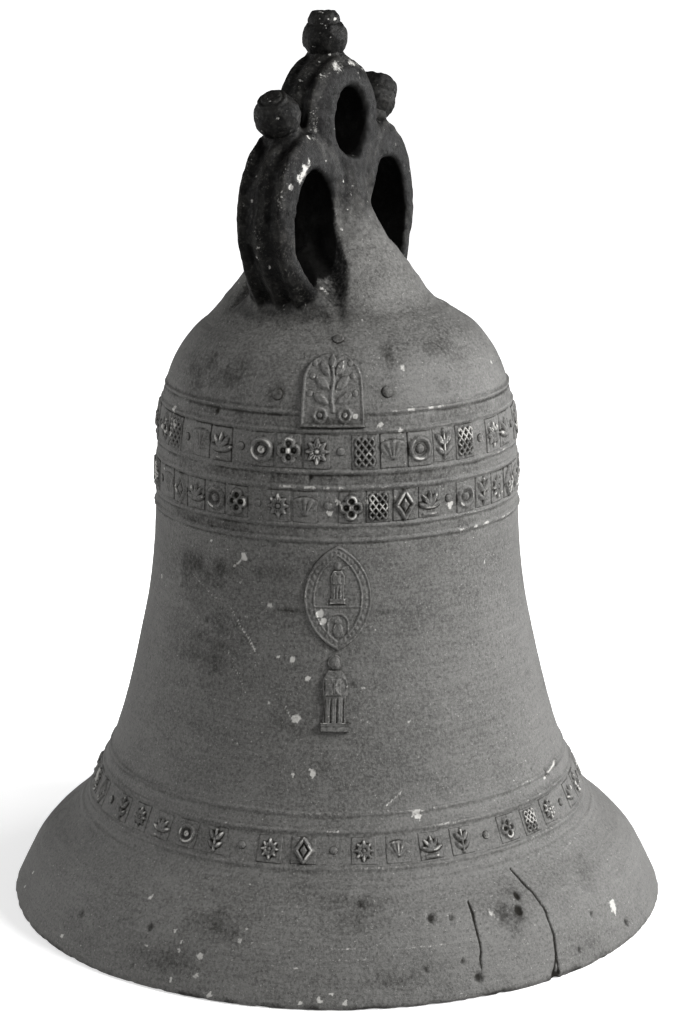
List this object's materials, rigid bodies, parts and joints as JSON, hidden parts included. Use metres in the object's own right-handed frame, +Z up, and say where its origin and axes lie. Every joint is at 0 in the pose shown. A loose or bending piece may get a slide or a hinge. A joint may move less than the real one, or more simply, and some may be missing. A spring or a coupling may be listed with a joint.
{
  "type": "church bell",
  "caption": "Cast bronze church bell with a three-loop crown and ball finials, moulded rings and reliefs, and a clapper hung on a leather strap from an iron staple.",
  "frame": {"origin": "centre of the mouth, on the plane that the lip rests on", "axes": "+Z up along the bell's axis; the crown's loops lie side by side along X; the clapper swings in the YZ plane"},
  "size_m": [0.4, 0.4, 0.535],
  "materials": {
    "bronze": "dull grey-brown patina, cast and weathered",
    "crown_bronze": "nearly black patina, rough from the mould",
    "forged_iron": "hammered, dark, lightly rusted",
    "cast_iron": "dark cast skin, worn bright where it strikes",
    "strap_leather": "thick oiled harness leather",
    "oak": "bare aged oak"
  },
  "bodies": {
    "bell": {"sound_bow": "bronze", "waist": "bronze", "shoulder": "bronze", "crown_base": "crown_bronze", "crown_arch": "crown_bronze", "canon_left": "crown_bronze", "canon_right": "crown_bronze", "finial_top": "crown_bronze", "finial_left": "crown_bronze", "finial_right": "crown_bronze", "crown_staple": "forged_iron", "relief_plaque": "bronze", "relief_seal": "bronze", "relief_figure": "bronze", "relief_pellets": "bronze"},
    "baldric": {"baldric_strap": "strap_leather", "busk_block": "oak", "clamp_plate_front": "forged_iron", "clamp_plate_back": "forged_iron", "clamp_bolts": "forged_iron", "clamp_nuts": "forged_iron"},
    "clapper": {"clapper_shaft": "forged_iron", "clapper_ball": "cast_iron", "ball_pin": "forged_iron"}
  },
  "joints": [
    {"name": "strap_swing", "type": "hinge", "parent": "bell", "child": "baldric", "pos_m": [0, 0, 0.318], "axis": [1, 0, 0], "range_deg": [-8, 8]},
    {"name": "clapper_swing", "type": "hinge", "parent": "baldric", "child": "clapper", "pos_m": [0, 0, 0.268], "axis": [1, 0, 0], "range_deg": [-17.5, 17.5]}
  ]
}
